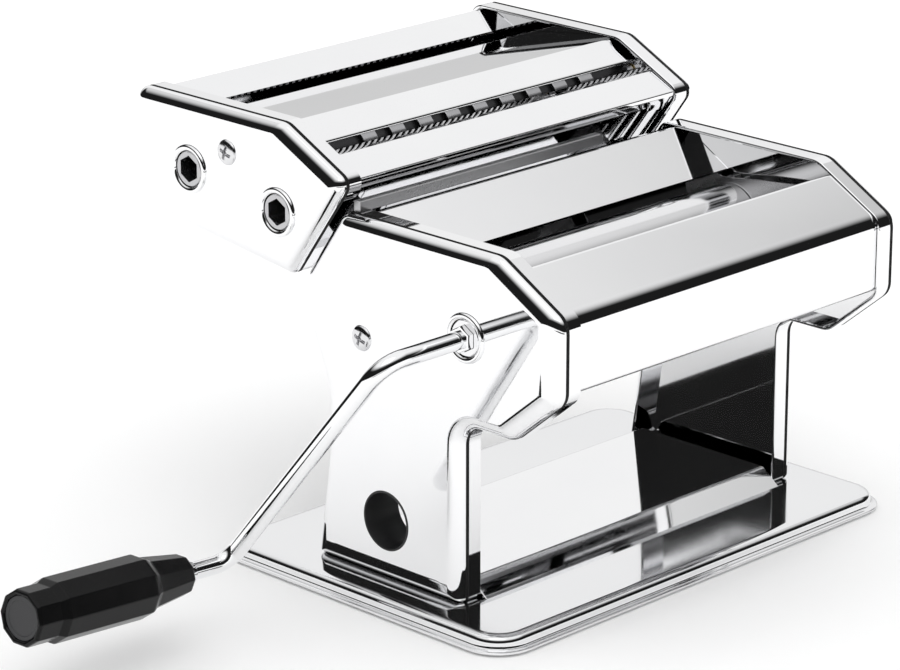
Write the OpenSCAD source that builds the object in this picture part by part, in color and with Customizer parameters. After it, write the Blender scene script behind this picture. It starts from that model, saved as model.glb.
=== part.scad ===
// Hand-cranked pasta roller machine with a lift-off cutter head.
// X runs along the rollers (the crank is at -X), -Y is the front, +Z is up.
// The origin is the centre of the base's underside. All sizes are in millimetres.

/* [Base] */
// Length of the base along the rollers
base_l = 196; // [186:1:210]
// Width of the base, front to back
base_w = 134; // [130:1:150]
// Height of the base's flat top
base_h = 6; // [5.5:0.5:7]
// Corner radius of the base
base_r = 14; // [8:1:20]

/* [Sides] */
// Distance between the inner edges of the two side rims
rim_gap = 144.6; // [140:0.1:150]
// Width of the flange that is turned in round each side
flange_w = 6.3; // [5:0.1:7]
// Depth of the outer side covers
cover_d = 3.6; // [3:0.1:5]
// How much further out each cutter side stands than the main side
cutter_step = 2.9; // [2:0.1:4]
// Sheet thickness of the shells
sheet = 1.2; // [0.8:0.1:1.5]

/* [Rollers] */
// Radius of the two smooth rollers
roller_r = 12.5; // [11:0.1:13]
// Gap between the smooth rollers at rest
roller_gap = 1.2; // [0.8:0.1:1.4]
// Radius of every journal
journal_r = 6; // [5.5:0.1:6.5]
// Running clearance of every journal, on the radius
run_fit = 0.05; // [0.02:0.01:0.08]
// Throw of the thickness adjuster's eccentric shaft
throw = 1.1; // [0.8:0.1:1.2]
// Width across the flats of the crank's hexagonal sockets
hex_af = 8; // [7:0.1:8.2]

/* [Cutters] */
// Outer radius of the cutting discs
disc_r = 8.5; // [8:0.1:8.6]
// Radius at the bottom of the cutting grooves
groove_r = 6.6; // [6.2:0.1:6.8]
// Distance between the axes of a pair of cutting rollers
pair_d = 15.4; // [15.3:0.1:15.8]
// Pitch of the wide cutter
wide_pitch = 13; // [10:1:14]
// Pitch of the narrow cutter
narrow_pitch = 3; // [3:0.5:4]

/* [Crank] */
// Distance from the roller's axis to the middle of the grip's inner end
crank_reach = 95.7; // [90:0.1:105]
// Radius of the crank rod
rod_r = 3; // [2.5:0.1:3.5]
// Angle of the crank from straight down, towards the back
crank_angle = 37.4; // [0:0.1:45]
// Length of the grip
grip_l = 71; // [65:1:85]
// How far the grip leans in towards the roller's axis
grip_lean = 7.3; // [0:0.1:10]

/* [Clamp sockets] */
// Radius of the bores that take the table clamp
clamp_r = 9.4; // [8:0.1:9.6]

/* [Hidden] */

round_fn = 64;
eps = 0.01;

// Half widths of the main head, out from the middle
rim_x = rim_gap / 2;
seam_x = rim_x + flange_w;
web_t = 1.5;
web_in_x = seam_x - web_t / 2;
web_out_x = seam_x + web_t / 2;
face_x = web_out_x + cover_d;
groove_d = 0.7;

// The same places on the cutter head
c_rim_x = rim_x + cutter_step;
c_web_in_x = web_in_x + cutter_step;
c_web_out_x = web_out_x + cutter_step;
c_face_x = face_x + cutter_step;

// Side outline of the main head and its leg: [y, z, corner radius, bend weight of the next edge]
leg_front_y = -34;
head_top_z = 125.6;
head_front_y = -76.8;
main_side = [
  [leg_front_y, base_h, 2, 0.6], [32.5, base_h, 2, 1], [26.8, 45, 60, 1], [26.2, 64, 40, 1],
  [40.3, 96, 5, 1], [19.8, head_top_z, 5, 0.8], [-49.5, head_top_z, 9, 1.15],
  [head_front_y, 110.2, 7, 1.7], [head_front_y, 84.2, 7, 1.3],
  [-55.9, 66.8, 7, 1], [leg_front_y, 66.8, 7, 1]
];

// Side outline of the cutter head
cutter_top_z = 150.8;
cutter_side = [
  [40.1, 100.5, 4, 1], [126.5, 111.2, 9, 1], [131.2, 122.5, 7, 1],
  [112.8, cutter_top_z, 6, 0.8], [43.7, cutter_top_z, 8, 1.15],
  [14.5, 136.2, 4, 1]
];

// Roller axes, as [y, z]
front_axis = [-37.1, 97];
rear_axis = front_axis + [2 * roller_r + roller_gap, 0];
adjust_axis = rear_axis - [0, throw];
roller_half_l = 73.6;
gear_x0 = 74.9;
gear_x1 = web_in_x - 0.3;
stub_end_x = web_out_x + 1.5;

// Axes of the cutting rollers, as [y, z]
narrow_drive = [87.5, 127.2];
narrow_idle = narrow_drive + [pair_d, 0];
wide_drive = [45.1, 121.3];
wide_tilt = 140;
wide_idle = wide_drive + pair_d * [cos(wide_tilt), sin(wide_tilt)];
disc_half_l = 77;
c_gear_x0 = 77.4;
c_gear_x1 = c_web_in_x - 0.3;
c_stub_end_x = c_web_out_x + 1.5;

// Other places on the sides, as [y, z]
main_screw = [9.3, 86.1];
front_tie = [-63, 84];
clamp_axis = [-1.4, 26.3];
cutter_screw = [68.8, 136.6];

// Colours
chrome = "silver";
steel = "lightgray";
dark = [0.12, 0.12, 0.13];
brass = [0.78, 0.62, 0.3];
grey_bar = [0.35, 0.35, 0.36];

// ---- outlines -------------------------------------------------------------

function unit(v) = v / norm(v);
function yz(p) = [p[0], p[1]];
function at(list, i) = list[(i + len(list)) % len(list)];
function short_way(a) = a > 180 ? a - 360 : a < -180 ? a + 360 : a;

// Points of an arc of radius r that rounds the corner b between a and c
function corner_arc(a, b, c, r, n = 5) =
  let (
    u = unit(a - b), w = unit(c - b),
    half = acos(max(-0.99999, min(0.99999, u * w))) / 2,
    t = r / tan(half),
    mid = b + unit(u + w) * (r / sin(half)),
    p1 = b + u * t - mid, p2 = b + w * t - mid,
    a1 = atan2(p1[1], p1[0]),
    turn = short_way(atan2(p2[1], p2[0]) - a1)
  )
  [for (k = [0:n]) mid + r * [cos(a1 + turn * k / n), sin(a1 + turn * k / n)]];

// A closed outline with its corners rounded
function rounded(p, n = 5) = [
  for (i = [0:len(p) - 1])
    each corner_arc(yz(at(p, i - 1)), yz(p[i]), yz(at(p, i + 1)), p[i][2], n)
];

function left_normal(a, b) = let (e = unit(b - a)) [-e[1], e[0]];

// A counter-clockwise outline moved inwards by d, times each edge's weight when weighted
function inset(p, d, weighted = false) = [
  for (i = [0:len(p) - 1])
    let (
      a = yz(at(p, i - 1)), b = yz(p[i]), c = yz(at(p, i + 1)),
      n1 = left_normal(a, b), n2 = left_normal(b, c),
      d1 = d * (weighted ? at(p, i - 1)[3] : 1),
      d2 = d * (weighted ? p[i][3] : 1),
      k = n1 * n2,
      v = 1 - k * k < 0.2 ? (n1 + n2) * ((d1 + d2) / 2 / (1 + k))
        : (n1 * (d1 - k * d2) + n2 * (d2 - k * d1)) / (1 - k * k),
      convex = n1[0] * n2[1] - n1[1] * n2[0] > 0
    )
    [b[0] + v[0], b[1] + v[1], max(0.4, p[i][2] + (convex ? -1 : 1) * (d1 + d2) / 2), p[i][3]]
];

// An open line of points turned into a strip of thickness t on its left side
function strip_side(p, t) = [
  for (i = [0:len(p) - 1])
    let (
      n1 = left_normal(p[max(i - 1, 0)], p[max(i, 1)]),
      n2 = left_normal(p[min(i, len(p) - 2)], p[min(i + 1, len(p) - 1)])
    )
    p[i] + (n1 + n2) * (t / (1 + n1 * n2))
];
function strip(p, t) =
  let (s = strip_side(p, t)) concat(p, [for (i = [len(s) - 1:-1:0]) s[i]]);

// ---- solids ---------------------------------------------------------------

// Extrude an outline given as [y, z] points along X
module along_x(x0, x1) {
  translate([x0, 0, 0]) rotate([90, 0, 90]) linear_extrude(x1 - x0) children();
}

module rod_x(x0, x1, r, p, fn = round_fn) {
  translate([x0, p[0], p[1]]) rotate([0, 90, 0]) cylinder(h = x1 - x0, r = r, $fn = fn);
}

module hex_x(x0, x1, af, p) {
  translate([x0, p[0], p[1]]) rotate([0, 90, 0]) cylinder(h = x1 - x0, d = af / cos(30), $fn = 6);
}

// The same shape on the other side
module right_side() {
  mirror([1, 0, 0]) children();
}

module rounded_rect(l, w, r) {
  h = [l / 2, w / 2];
  polygon(rounded([[-h[0], -h[1], r], [h[0], -h[1], r], [h[0], h[1], r], [-h[0], h[1], r]], 8));
}

// Left side frame: a web plate with a flange turned in round its edge
module side_frame(side, edge_x, seam, holes) {
  difference() {
    union() {
      difference() {
        along_x(-seam, -edge_x) polygon(rounded(side));
        along_x(-seam - 1, -edge_x + 1) polygon(rounded(inset(side, sheet)));
      }
      along_x(-seam - web_t / 2, -seam + web_t / 2) polygon(rounded(inset(side, groove_d)));
    }
    for (h = holes) rod_x(-seam - web_t, -seam + web_t, h[1], h[0]);
  }
}

// Left outer cover: a shallow pan whose edge bends round to the flat face
module side_cover(side, back_x, holes) {
  bend = [[0, 0], [0.3, 0.25], [0.55, 0.8], [0.75, 1.6], [0.88, 2.5], [0.96, 3.5], [1, 5]];
  difference() {
    union() for (k = [0:len(bend) - 2])
      along_x(-back_x - cover_d * bend[k + 1][0], -back_x - cover_d * bend[k][0] + eps)
        polygon(rounded(inset(side, bend[k][1], true)));
    along_x(-back_x - cover_d * 0.4, -back_x + 1) polygon(rounded(inset(side, sheet)));
    along_x(-back_x - cover_d + sheet, -back_x) polygon(rounded(inset(side, 2.2 + sheet, true)));
    for (h = holes) rod_x(-back_x - cover_d - 1, -back_x + 1, h[1], h[0]);
  }
}

// A bent sheet along X between two ends, kept inside the flanges of the sides
flange_clear = 0.05;
module sheet_x(half, points, t, side) {
  along_x(-half, half) intersection() {
    polygon(strip(points, t));
    polygon(rounded(inset(side, sheet + flange_clear)));
  }
}

// Spur gear with trapezoid teeth, from x0 to x1
module gear_x(x0, x1, teeth, root, tip, base_w, tip_w, bore, p, phase = 0) {
  pitch = 360 / teeth;
  translate([x0, p[0], p[1]]) rotate([90, 0, 90]) difference() {
    linear_extrude(x1 - x0) rotate(phase) union() {
      circle(r = root, $fn = round_fn);
      for (i = [0:teeth - 1]) rotate(i * pitch)
        polygon([[0, -base_w / 2], [root, -base_w / 2], [tip, -tip_w / 2],
                 [tip, tip_w / 2], [root, base_w / 2], [0, base_w / 2]]);
    }
    translate([0, 0, -1]) cylinder(h = x1 - x0 + 2, r = bore, $fn = round_fn);
  }
}

// Countersunk cross-head screw at the left, its head on the face at x = -face
module side_screw(face, depth, p) {
  head_r = 4.3;
  slot = 1.1;
  difference() {
    union() {
      rod_x(-face - 0.9, -face, head_r, p);
      rod_x(-face - 1.4, -face - 0.8, head_r * 0.75, p);
      rod_x(-face, -face + depth, 2, p);
    }
    for (a = [0, 90]) translate([-face - 2, p[0], p[1]]) rotate([a + 20, 0, 0])
      translate([0, -slot / 2, -head_r * 0.62]) cube([1.3, slot, head_r * 1.24]);
  }
}

// Flanged ring round a hexagonal socket in the left cover
module socket_ring(face, p) {
  difference() {
    union() {
      rod_x(-face - 0.9, -face, 8.25, p);
      rod_x(-face, -face + sheet, 7.4, p);
    }
    rod_x(-face - 2, -face + sheet + 1, journal_r + 0.3, p);
  }
}

// Flanged bush in a web, at x = -seam (left) with the flange outside
module bush(seam, outer, p) {
  difference() {
    union() {
      rod_x(-seam - web_t / 2, -seam + web_t / 2, outer, p);
      rod_x(-seam - web_t / 2 - 0.9, -seam - web_t / 2, outer + 0.8, p);
    }
    rod_x(-seam - web_t - 2, -seam + web_t + 2, journal_r + run_fit, p);
  }
}

// ---- base -----------------------------------------------------------------

base_lip = 2.4;
base_edge = 5;

module base_plate() {
  steps = [[0.6, 1.7, 0], [1.7, 4.4, base_lip], [4.4, 5.2, base_lip + 0.7],
           [5.2, 5.7, base_lip + 1.5], [5.7, base_h, base_edge]];
  color(chrome) difference() {
    union() for (s = steps) translate([0, 0, s[0]])
      linear_extrude(s[1] - s[0] + (s[1] < base_h ? eps : 0))
        rounded_rect(base_l - 2 * s[2], base_w - 2 * s[2], base_r - s[2]);
    translate([0, 0, -1]) linear_extrude(base_h - sheet + 1)
      rounded_rect(base_l - 2 * base_edge, base_w - 2 * base_edge, base_r - base_edge);
    for (p = screw_places()) translate([p[0], p[1], 0]) cylinder(h = 10, r = 2.1, $fn = round_fn);
  }
}

// Screws up through the base into the feet of the two side frames
function screw_places() = [for (x = [-1, 1], y = [-24, 20]) [x * (rim_x + 3), y]];

module base_pad() {
  clear = 0.15;
  l = base_l - 2 * (base_edge + clear);
  w = base_w - 2 * (base_edge + clear);
  color(dark) difference() {
    union() {
      linear_extrude(1.6) rounded_rect(l, w, base_r - base_edge);
      for (x = [-84, -42, 0, 42, 84], y = [-50, 0, 50]) translate([x, y, 1])
        cylinder(h = base_h - sheet - 1, r = 5, $fn = round_fn);
    }
    for (p = screw_places()) translate([p[0], p[1], -1]) cylinder(h = 10, r = 4.4, $fn = round_fn);
  }
}

module base_screws() {
  color(steel) for (p = screw_places()) translate([p[0], p[1], 0]) {
    translate([0, 0, 2.6]) cylinder(h = base_h - sheet - 2.6, r = 3.8, $fn = round_fn);
    translate([0, 0, 3]) cylinder(h = base_h + sheet - 3, r = 1.95, $fn = round_fn);
  }
}

// Raised plate between the feet of the two sides
tie_h = 5.5;
module leg_tie_plate() {
  outer = [[-37, base_h], [31, base_h], [27, base_h + tie_h], [-29.5, base_h + tie_h]];
  color(chrome) difference() {
    along_x(-rim_x, rim_x) polygon(outer);
    along_x(-rim_x - 1, rim_x + 1) polygon([for (p = inset([for (q = outer) [q[0], q[1], 1, 1]], sheet))
      [p[0], p[1] < base_h + 2 ? base_h - 1 : p[1]]]);
  }
}

// ---- sides of the main head -------------------------------------------------

bush_r = 8.4;
frame_holes = [[front_axis, bush_r], [adjust_axis, bush_r], [main_screw, 2.1], [front_tie, 2.1]];
clamp_hole = [clamp_axis, clamp_r + 0.8];
foot_hole_r = 2;

module foot_holes() {
  for (p = screw_places()) translate([p[0], p[1], base_h - 2])
    cylinder(h = 6, r = foot_hole_r, $fn = round_fn);
}

module left_side_frame() {
  color(chrome) difference() {
    side_frame(main_side, rim_x, seam_x, concat(frame_holes, [clamp_hole]));
    foot_holes();
  }
}

module right_side_frame() {
  color(chrome) right_side() difference() {
    side_frame(main_side, rim_x, seam_x, frame_holes);
    foot_holes();
  }
}

module left_side_cover() {
  color(chrome) side_cover(main_side, web_out_x,
    [[front_axis, 7.4], clamp_hole, [main_screw, 2.1]]);
}

module right_side_cover() {
  color(chrome) right_side() side_cover(main_side, web_out_x,
    [[adjust_axis, journal_r + 0.5], [main_screw, 2.1], [adjust_axis + [0, pin_d], pin_r]]);
}

module side_cover_screws() {
  color(steel) {
    side_screw(face_x, cover_d, main_screw);
    right_side() side_screw(face_x, cover_d, main_screw);
  }
}

// Tube that lines the clamp socket in the left leg
clamp_l = 15;
module left_clamp_sleeve() {
  color(dark) difference() {
    rod_x(-face_x - 0.2, -face_x - 0.2 + clamp_l, clamp_r + 0.8, clamp_axis);
    rod_x(-face_x - 2, -face_x + clamp_l + 1, clamp_r, clamp_axis);
  }
}

module head_tie_rods() {
  color(steel) {
    difference() {
      rod_x(-web_in_x, web_in_x, 4, main_screw);
      for (s = [-1, 1]) rod_x(s * web_in_x - 9, s * web_in_x + 9, 2, main_screw);
    }
    rod_x(-web_in_x, web_in_x, 4, front_tie);
    for (s = [-1, 1]) rod_x(s * seam_x - web_t / 2 - 0.6, s * seam_x + web_t / 2 + 0.6, 2.1, front_tie);
  }
}

// ---- covers and guards between the sides ------------------------------------

panel_t = 1;
panel_half = web_in_x;

module front_cover() {
  color(chrome) sheet_x(panel_half, [
    [-68, 85.6], [-75.4, 85.6], [-75.4, 110.2], [-54, 122.1], [-51, 116.5]], -panel_t, main_side);
}

// Outer face of the main head's sloping back, as a point and a direction up the slope
back_foot = [40.3, 96];
slope = unit([19.8, head_top_z] - back_foot);
slope_out = [slope[1], -slope[0]];
slope_angle = atan2(slope[1], slope[0]);
rear_inset = 1.4;
slope_low = back_foot - rear_inset * slope_out;
slope_high = slope_low + 33.6 * slope;

module rear_cover() {
  color(chrome) sheet_x(panel_half, [
    [-5.5, 112.7], [14.6, 124.6], slope_high, slope_low, [26.6, 68], [20, 68]],
    -panel_t, main_side);
}

// Plate at each end of the hopper that keeps the dough on the rollers
guard_x0 = roller_half_l + 0.15;
guard_x1 = gear_x0 - 0.25;
module hopper_guard() {
  difference() {
    along_x(-guard_x1, -guard_x0) polygon([
      [-58, 92], [-24, 90], [8, 96], [13, 121], [-6, 110.8], [-9.5, 111],
      [-24, 113], [-49, 115.5], [-57, 115.5]]);
    rod_x(-guard_x1 - 1, -guard_x0 + 1, 8.2, front_axis);
    rod_x(-guard_x1 - 1, -guard_x0 + 1, 8.4 + throw, rear_axis);
  }
}

module left_hopper_guard() {
  color(steel) hopper_guard();
}

module right_hopper_guard() {
  color(steel) right_side() hopper_guard();
}

// Scrapers under the rollers: a bar from side to side, and a blade between the guards
bar_r = roller_r + 3.4;
module scraper(axis, angle, gap) {
  translate([0, axis[0], axis[1]]) rotate([angle, 0, 0]) {
    along_x(-web_in_x, web_in_x) polygon([
      [bar_r, -1], [roller_r + 9, -1], [roller_r + 9, 3], [roller_r + 5, 3], [bar_r, 0.8]]);
    along_x(-roller_half_l, roller_half_l) polygon([
      [roller_r + gap, -0.2], [bar_r + 0.5, -1], [bar_r + 0.5, 0.8]]);
  }
}

module front_scraper() {
  color(steel) scraper(front_axis, 220, 0.35);
}

module rear_scraper() {
  color(steel) scraper(rear_axis, 305, 0.95);
}

module roller_bushes() {
  color(brass) for (a = [front_axis, adjust_axis]) {
    bush(seam_x, bush_r, a);
    right_side() bush(seam_x, bush_r, a);
  }
}

module crank_socket_ring() {
  color(chrome) socket_ring(face_x, front_axis);
}

rail_x = 58;
rail_l = 17;

// Rails on the sloping back that hold the cutter head
module cutter_rails() {
  color(steel) for (x = [-rail_x, rail_x])
    translate([x, back_foot[0], back_foot[1]]) rotate([slope_angle, 0, 0]) {
      translate([-1.25, 6, -5.2]) cube([2.5, rail_l, 5.2 + rear_inset]);
      translate([-4, 6, -6.6]) cube([8, rail_l, 1.4]);
    }
}

// Bar along the hopper's back edge that the cutter head rests against
module cutter_rest_bar() {
  bar_end = 37;
  bar_z = head_top_z + 0.05;
  color(grey_bar) {
    translate([-web_in_x, 14.7, bar_z]) cube([web_in_x + bar_end - 2, 2.9, 3.8]);
    translate([bar_end - 2, 17.6, bar_z + 1.9]) rotate([90, 0, 0])
      cylinder(h = 2.9, r = 1.9, $fn = round_fn);
  }
}

pin_r = 1.5;
pin_d = 9.5;
module detent_pin() {
  color(steel) rod_x(face_x - sheet, face_x + 2.6, pin_r, adjust_axis + [0, pin_d]);
}

// ---- rollers of the main head -----------------------------------------------

teeth = 20;
gear_root = 10.6;
gear_tip = 14;
tooth_root_w = 1.8;
tooth_tip_w = 0.8;

module front_roller() {
  color(chrome) difference() {
    union() {
      rod_x(-roller_half_l, roller_half_l, roller_r, front_axis, 96);
      rod_x(-face_x - 0.2, stub_end_x, journal_r, front_axis);
    }
    hex_x(-face_x - 1, -face_x + 17, hex_af, front_axis);
  }
}

module front_roller_gear() {
  color(brass) gear_x(gear_x0, gear_x1, teeth, gear_root, gear_tip,
    tooth_root_w, tooth_tip_w, journal_r, front_axis);
}

ecc_r = 4.2;
sleeve_r = 5.8;
sleeve_play = 0.65;
module eccentric_shaft() {
  color(steel) {
    rod_x(-stub_end_x, -web_in_x, journal_r, adjust_axis);
    rod_x(-web_in_x, web_in_x, ecc_r, rear_axis);
    rod_x(web_in_x, face_x + 0.4, journal_r, adjust_axis);
    translate([face_x, adjust_axis[0] - 3, adjust_axis[1] - 3]) cube([11, 6, 6]);
  }
}

module rear_roller() {
  color(chrome) difference() {
    rod_x(-roller_half_l, roller_half_l, roller_r, rear_axis, 96);
    rod_x(-roller_half_l - 1, roller_half_l + 1, sleeve_r + run_fit, rear_axis);
  }
}

// Bearing sleeves between the eccentric shaft and the rear roller
module roller_sleeves() {
  sleeve_l = 14;
  color(brass) for (x = [-roller_half_l, gear_x1 - sleeve_l]) difference() {
    rod_x(x, x + sleeve_l, sleeve_r, rear_axis);
    rod_x(x - 1, x + sleeve_l + 1, ecc_r + sleeve_play, rear_axis);
  }
}

// The rear gear is joined to its roller by a hub that runs on a sleeve
module rear_roller_gear() {
  color(brass) {
    gear_x(gear_x0, gear_x1, teeth, gear_root, gear_tip,
      tooth_root_w, tooth_tip_w, sleeve_r + run_fit, rear_axis, 180 / teeth);
    difference() {
      rod_x(roller_half_l, gear_x0, 7.6, rear_axis);
      rod_x(roller_half_l - 1, gear_x0 + 1, sleeve_r + run_fit, rear_axis);
    }
  }
}

knob_x0 = face_x + 0.6;
knob_l = 14;
knob_r = 14.5;
module adjuster_knob() {
  color(dark) difference() {
    union() {
      rod_x(knob_x0, knob_x0 + 4, knob_r, adjust_axis);
      translate([knob_x0 + 4, adjust_axis[0], adjust_axis[1]]) rotate([0, 90, 0])
        cylinder(h = knob_l - 4, r = knob_r - 1.5, $fn = 12);
    }
    translate([knob_x0 - 1, adjust_axis[0] - 3.15, adjust_axis[1] - 3.15]) cube([15, 6.3, 6.3]);
    difference() {
      rod_x(knob_x0 - 1, knob_x0 + 2.6, pin_d + 2, adjust_axis);
      rod_x(knob_x0 - 2, knob_x0 + 3.6, pin_d - 2, adjust_axis);
    }
  }
}

module knob_cap() {
  color(chrome) rod_x(knob_x0 + knob_l, knob_x0 + knob_l + 1.2, 9, adjust_axis);
}

// ---- crank --------------------------------------------------------------------

hex_in = 15;
hex_out = 3;
arm_start = 119;
grip_x = 151;

// Route of the rod in the crank's own plane: [distance out, distance from the axis, bend radius]
grip_dir = [cos(grip_lean), -sin(grip_lean)];
grip_start = [grip_x, crank_reach];
rod_route = [
  [face_x + hex_out - 1, 0, 0], [arm_start, 0, 9], concat(grip_start - 21 * grip_dir, [7]),
  concat(grip_start, [0])
];

rod_points = concat([yz(rod_route[0])],
  corner_arc(yz(rod_route[0]), yz(rod_route[1]), yz(rod_route[2]), rod_route[1][2], 3),
  corner_arc(yz(rod_route[1]), yz(rod_route[2]), yz(rod_route[3]), rod_route[2][2], 3),
  [grip_start + (grip_l - 6) * grip_dir]);

// Turn the crank's own plane (out along -X, radius down) to its place at rest
module crank_place() {
  translate([0, front_axis[0], front_axis[1]]) rotate([crank_angle, 0, 0]) children();
}

// A point of the crank's own plane in space, before crank_place
function crank_point(p) = [-p[0], 0, -p[1]];

module rod_between(p, q, r, fn = 32) {
  d = crank_point(q) - crank_point(p);
  translate(crank_point(p)) rotate([0, atan2(d[0], d[2]), 0]) cylinder(h = norm(d), r = r, $fn = fn);
}

// The joints of the bends are balls a little wider than the rod
bend_ball = 0.12;
module crank_rod() {
  color(chrome) crank_place() {
    for (i = [0:len(rod_points) - 2]) rod_between(rod_points[i], rod_points[i + 1], rod_r);
    for (i = [1:len(rod_points) - 2]) translate(crank_point(rod_points[i]))
      sphere(r = rod_r + bend_ball, $fn = 32);
  }
  color(chrome) hex_x(-face_x - hex_out, -face_x + hex_in, hex_af - 0.3, front_axis);
}

collar_l = 2.5;
module crank_collar() {
  color(chrome) crank_place() difference() {
    rod_between(grip_start - (collar_l + 0.5) * grip_dir, grip_start - 0.5 * grip_dir, 4);
    rod_between(grip_start - 9 * grip_dir, grip_start + 2 * grip_dir, rod_r + 0.2);
  }
}

// Grip: facetted sleeve that turns on the rod, [distance along the grip, radius]
grip_steps = [
  [0, 5.6], [1.2, 6.7], [18, 8.9], [21, 10.4], [59, 10.4], [61.5, 9.2], [grip_l - 0.8, 9.2],
  [grip_l, 8.5]
];
cap_r = 7.2;
module grip() {
  color(dark) crank_place() difference() {
    translate(crank_point(grip_start)) rotate([0, grip_lean - 90, 0]) union()
      for (i = [0:len(grip_steps) - 2]) translate([0, 0, grip_steps[i][0]]) cylinder(
        h = grip_steps[i + 1][0] - grip_steps[i][0] + (i < len(grip_steps) - 2 ? eps : 0),
        r1 = grip_steps[i][1], r2 = grip_steps[i + 1][1], $fn = 10);
    rod_between(grip_start - grip_dir, grip_start + (grip_l - 5) * grip_dir, rod_r + run_fit);
    rod_between(grip_start + (grip_l - 3) * grip_dir, grip_start + (grip_l + 1) * grip_dir,
      cap_r, 64);
  }
}

module grip_cap() {
  color(dark) crank_place()
    rod_between(grip_start + (grip_l - 3) * grip_dir, grip_start + (grip_l - 0.7) * grip_dir,
      cap_r, 64);
}

// ---- cutter head ----------------------------------------------------------------

c_bush_r = 7.6;
cutter_axes = [wide_drive, wide_idle, narrow_drive, narrow_idle];
cutter_holes = concat([for (a = cutter_axes) [a, c_bush_r]], [[cutter_screw, 2.1]]);
c_seam = seam_x + cutter_step;

module cutter_left_frame() {
  color(chrome) side_frame(cutter_side, c_rim_x, c_seam, cutter_holes);
}

module cutter_right_frame() {
  color(chrome) right_side() side_frame(cutter_side, c_rim_x, c_seam, cutter_holes);
}

module cutter_left_cover() {
  color(chrome) side_cover(cutter_side, c_web_out_x,
    [[narrow_drive, 7.4], [wide_drive, 7.4], [cutter_screw, 2.1]]);
}

module cutter_right_cover() {
  color(chrome) right_side() side_cover(cutter_side, c_web_out_x, [[cutter_screw, 2.1]]);
}

module cutter_cover_screws() {
  color(steel) {
    side_screw(c_face_x, cover_d, cutter_screw);
    right_side() side_screw(c_face_x, cover_d, cutter_screw);
  }
}

module cutter_socket_rings() {
  color(chrome) for (a = [narrow_drive, wide_drive]) socket_ring(c_face_x, a);
}

module cutter_bushes() {
  color(brass) for (a = cutter_axes) {
    bush(c_seam, c_bush_r, a);
    right_side() bush(c_seam, c_bush_r, a);
  }
}

module cutter_tie_rod() {
  color(steel) difference() {
    rod_x(-c_web_in_x, c_web_in_x, 3.5, cutter_screw);
    for (s = [-1, 1]) rod_x(s * c_web_in_x - 9, s * c_web_in_x + 9, 2, cutter_screw);
  }
}

module cutter_rear_panel() {
  color(chrome) sheet_x(c_web_in_x, [
    [99.3, 144], [111.6, 149.4], [129.6, 122.6], [125.6, 112.8], [114, 111.2]],
    -panel_t, cutter_side);
}

module cutter_middle_panel() {
  color(chrome) sheet_x(c_web_in_x, [
    [38, 139.6], [36.8, 143.7], [47.6, 149.3], [89, 144], [90, 140]], -panel_t, cutter_side);
}

module cutter_front_panel() {
  color(chrome) difference() {
    sheet_x(c_web_in_x, [
      [52, 103.8], [40.6, 102.2], [17.3, 134.8], [17.3, 136.2], [28.8, 141.7], [29.6, 139.9]],
      -panel_t, cutter_side);
    for (x = [-rail_x, rail_x]) {
      translate([x - 2, 20, 95]) cube([4, 40, 26]);
      translate([x - 4.6, 40.9, 100]) cube([9.2, 5.1, 6]);
    }
  }
}

// Bars that strip the dough from below a pair of cutting rollers
comb_t = 0.8;
comb_w = 3;
module combs(axis_a, axis_b) {
  line = unit(axis_b - axis_a);
  down = line[0] > 0 ? [line[1], -line[0]] : [-line[1], line[0]];
  for (a = [[axis_a, line], [axis_b, -line]]) {
    edge = a[0] + down * (disc_r + 0.7) + a[1] * 1.5;
    along_x(-c_web_in_x, c_web_in_x) polygon([
      edge, edge + down * comb_t, edge + down * comb_t + a[1] * comb_w, edge + a[1] * comb_w]);
  }
}

module wide_combs() {
  color(steel) combs(wide_drive, wide_idle);
}

module narrow_combs() {
  color(steel) combs(narrow_drive, narrow_idle);
}

// Profile of a cutting roller: lands of radius disc_r, half a pitch wide, less the side clearance
land_clear = 0.1;
function land_profile(pitch, shift) =
  let (n = floor((2 * disc_half_l - 2 * pitch) / pitch), start = -n * pitch / 2 + shift)
  concat([[0, -disc_half_l], [groove_r, -disc_half_l]],
    [for (k = [0:n - 1], c = [0:3])
      let (x0 = start + k * pitch + land_clear, x1 = start + k * pitch + pitch / 2 - land_clear)
      [[groove_r, x0], [disc_r, x0], [disc_r, x1], [groove_r, x1]][c]],
    [[groove_r, disc_half_l], [0, disc_half_l]]);

module cutting_roller(axis, pitch, shift, driven) {
  difference() {
    union() {
      translate([0, axis[0], axis[1]]) rotate([0, 90, 0])
        rotate_extrude($fn = 48) polygon(land_profile(pitch, shift));
      rod_x(driven ? -c_face_x - 0.2 : -c_stub_end_x, c_stub_end_x, journal_r, axis);
    }
    if (driven) hex_x(-c_face_x - 1, -c_face_x + 17, hex_af, axis);
  }
}

c_teeth = 16;
module cutting_gear(axis, phase) {
  gear_x(c_gear_x0, c_gear_x1, c_teeth, 6.9, 8.3, 1.5, 0.8, journal_r, axis, phase);
}

module wide_drive_roller() {
  color(steel) cutting_roller(wide_drive, wide_pitch, 0, true);
}

module wide_drive_gear() {
  color(brass) cutting_gear(wide_drive, wide_tilt);
}

module wide_idle_roller() {
  color(steel) cutting_roller(wide_idle, wide_pitch, wide_pitch / 2, false);
}

module wide_idle_gear() {
  color(brass) cutting_gear(wide_idle, wide_tilt + 180 + 180 / c_teeth);
}

module narrow_drive_roller() {
  color(steel) cutting_roller(narrow_drive, narrow_pitch, 0, true);
}

module narrow_drive_gear() {
  color(brass) cutting_gear(narrow_drive, 0);
}

module narrow_idle_roller() {
  color(steel) cutting_roller(narrow_idle, narrow_pitch, narrow_pitch / 2, false);
}

module narrow_idle_gear() {
  color(brass) cutting_gear(narrow_idle, 180 + 180 / c_teeth);
}

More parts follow.
